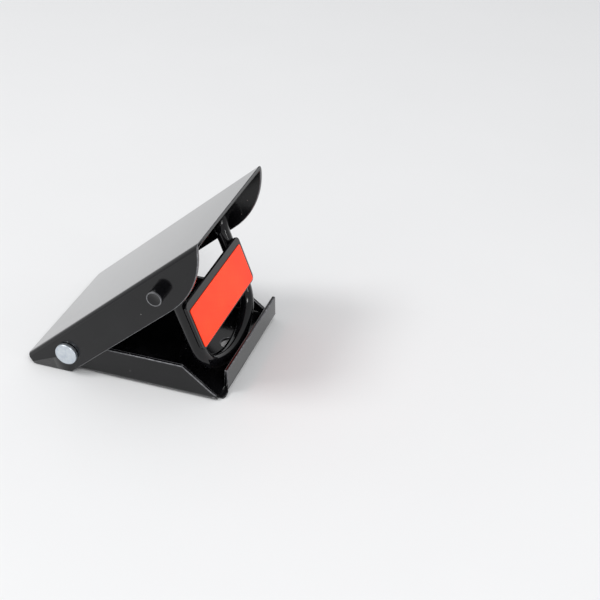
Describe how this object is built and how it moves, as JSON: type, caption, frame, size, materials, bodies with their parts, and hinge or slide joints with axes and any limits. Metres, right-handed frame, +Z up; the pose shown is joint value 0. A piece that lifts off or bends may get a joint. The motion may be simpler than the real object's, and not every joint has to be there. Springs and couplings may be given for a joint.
{
  "type": "folding wheel chock",
  "caption": "Folding pressed-steel wheel chock: a hinged ramp held up by a bent-rod strut with a reflector, standing on a tray base with a heel lip.",
  "frame": {"origin": "on the ground straight below the pivot pin, midway between the two sides, at the base plate's underside", "axes": "+X from the toe to the heel, +Y to the far side (the swaged end of the pin), +Z up; the chock stands open on its base"},
  "size_m": [0.1041, 0.0924, 0.0892],
  "materials": {
    "black_enamel": "gloss",
    "zinc_plate": "satin",
    "reflective_film": "satin",
    "white_label": "matte",
    "blue_print": "gloss"
  },
  "bodies": {
    "base": {"base_plate": "black_enamel", "pivot_pin": "zinc_plate", "pin_washer": "zinc_plate"},
    "ramp": {"ramp_plate": "black_enamel", "blank_label": "white_label", "printed_stripe": "blue_print"},
    "strut": {"strut_rod": "black_enamel", "reflector_plate": "black_enamel", "plate_welds": "black_enamel", "reflective_sheet": "reflective_film"}
  },
  "joints": [
    {"name": "ramp_hinge", "type": "hinge", "parent": "base", "child": "ramp", "pos_m": [0, 0, 0.0124], "axis": [0, -1, 0], "range_deg": [0, 6]},
    {"name": "strut_hinge", "type": "hinge", "parent": "ramp", "child": "strut", "pos_m": [0.05253, 0, 0.05988], "axis": [0, -1, 0], "range_deg": [-27.6, 0]}
  ],
  "couplings": [
    {"joint": "strut_hinge", "follows": "ramp_hinge", "ratio": -4.6}
  ]
}
